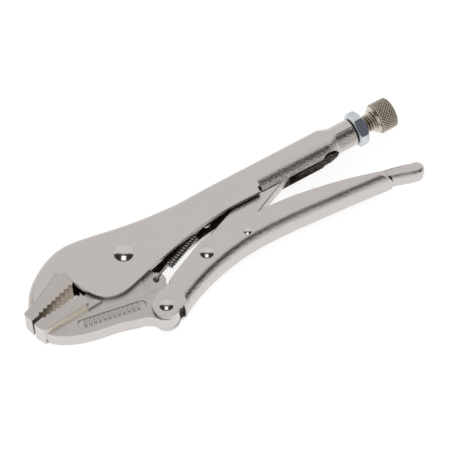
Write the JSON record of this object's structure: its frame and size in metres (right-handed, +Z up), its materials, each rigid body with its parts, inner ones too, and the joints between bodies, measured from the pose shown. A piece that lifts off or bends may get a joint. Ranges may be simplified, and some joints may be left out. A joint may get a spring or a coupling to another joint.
{
  "type": "locking pliers",
  "caption": "Locking pliers with curved toothed jaws, a toggle link, a release lever, a return spring and a knurled adjusting screw with its lock nut.",
  "frame": {"origin": "centre of the bounding box in plan, at its lowest point: the tool lies on its side on its rivet heads", "axes": "+X from the jaws to the knob along the adjusting screw, +Y towards the back of the upper handle, +Z up, along the hinge pins"},
  "size_m": [0.231, 0.0654, 0.0198],
  "materials": {
    "nickel_sheet": "satin nickel plate on pressed sheet steel",
    "nickel_forging": "satin nickel plate on ground forging",
    "rivet_polish": "polished nickel domes",
    "screw_steel": "nickel plate, knurled and threaded",
    "zinc_nut": "bright zinc plate with a bluish passivation",
    "spring_steel": "drawn spring wire, lightly oiled"
  },
  "bodies": {
    "upper_handle": {"upper_handle": "nickel_sheet", "fixed_jaw": "nickel_forging", "main_rivet": "rivet_polish"},
    "movable_jaw": {"movable_jaw": "nickel_forging", "jaw_spring": "spring_steel"},
    "lower_handle": {"lower_handle": "nickel_sheet", "handle_rivet": "rivet_polish", "link_rivet": "rivet_polish", "lever_rivet": "rivet_polish"},
    "toggle_link": {"toggle_link": "nickel_forging"},
    "release_lever": {"release_lever": "nickel_sheet"},
    "adjusting_screw": {"adjusting_screw": "screw_steel"},
    "screw_knob": {"screw_knob": "screw_steel"},
    "lock_nut": {"lock_nut": "zinc_nut"}
  },
  "joints": [
    {"name": "jaw_opening", "type": "hinge", "parent": "upper_handle", "child": "movable_jaw", "pos_m": [-0.05412, 0.01209, 0.0099], "axis": [0, 0, 1], "range_deg": [0, 20], "deforming": ["jaw_spring"]},
    {"name": "handle_swing", "type": "hinge", "parent": "movable_jaw", "child": "lower_handle", "pos_m": [-0.05012, -0.02541, 0.0099], "axis": [0, 0, 1], "range_deg": [-62, 0]},
    {"name": "link_swing", "type": "hinge", "parent": "lower_handle", "child": "toggle_link", "pos_m": [-0.01662, -0.00991, 0.0099], "axis": [0, 0, 1], "range_deg": [0, 66.5]},
    {"name": "release_press", "type": "hinge", "parent": "lower_handle", "child": "release_lever", "pos_m": [0.00818, -0.01001, 0.0099], "axis": [0, 0, 1], "range_deg": [0, 5]},
    {"name": "screw_feed", "type": "slide", "parent": "upper_handle", "child": "adjusting_screw", "axis": [1, 0, 0], "range_m": [0, 0.012]},
    {"name": "knob_turn", "type": "hinge", "parent": "adjusting_screw", "child": "screw_knob", "pos_m": [0.10988, 0.01679, 0.0099], "axis": [-1, 0, 0], "range_deg": [0, 2880]},
    {"name": "nut_turn", "type": "hinge", "parent": "upper_handle", "child": "lock_nut", "pos_m": [0.09368, 0.01679, 0.0099], "axis": [-1, 0, 0], "range_deg": [0, 360]}
  ],
  "couplings": [
    {"joint": "handle_swing", "follows": "jaw_opening", "ratio": -3.1},
    {"joint": "link_swing", "follows": "jaw_opening", "ratio": 3.325},
    {"joint": "knob_turn", "follows": "screw_feed", "rad_per_m": 4188.8}
  ]
}
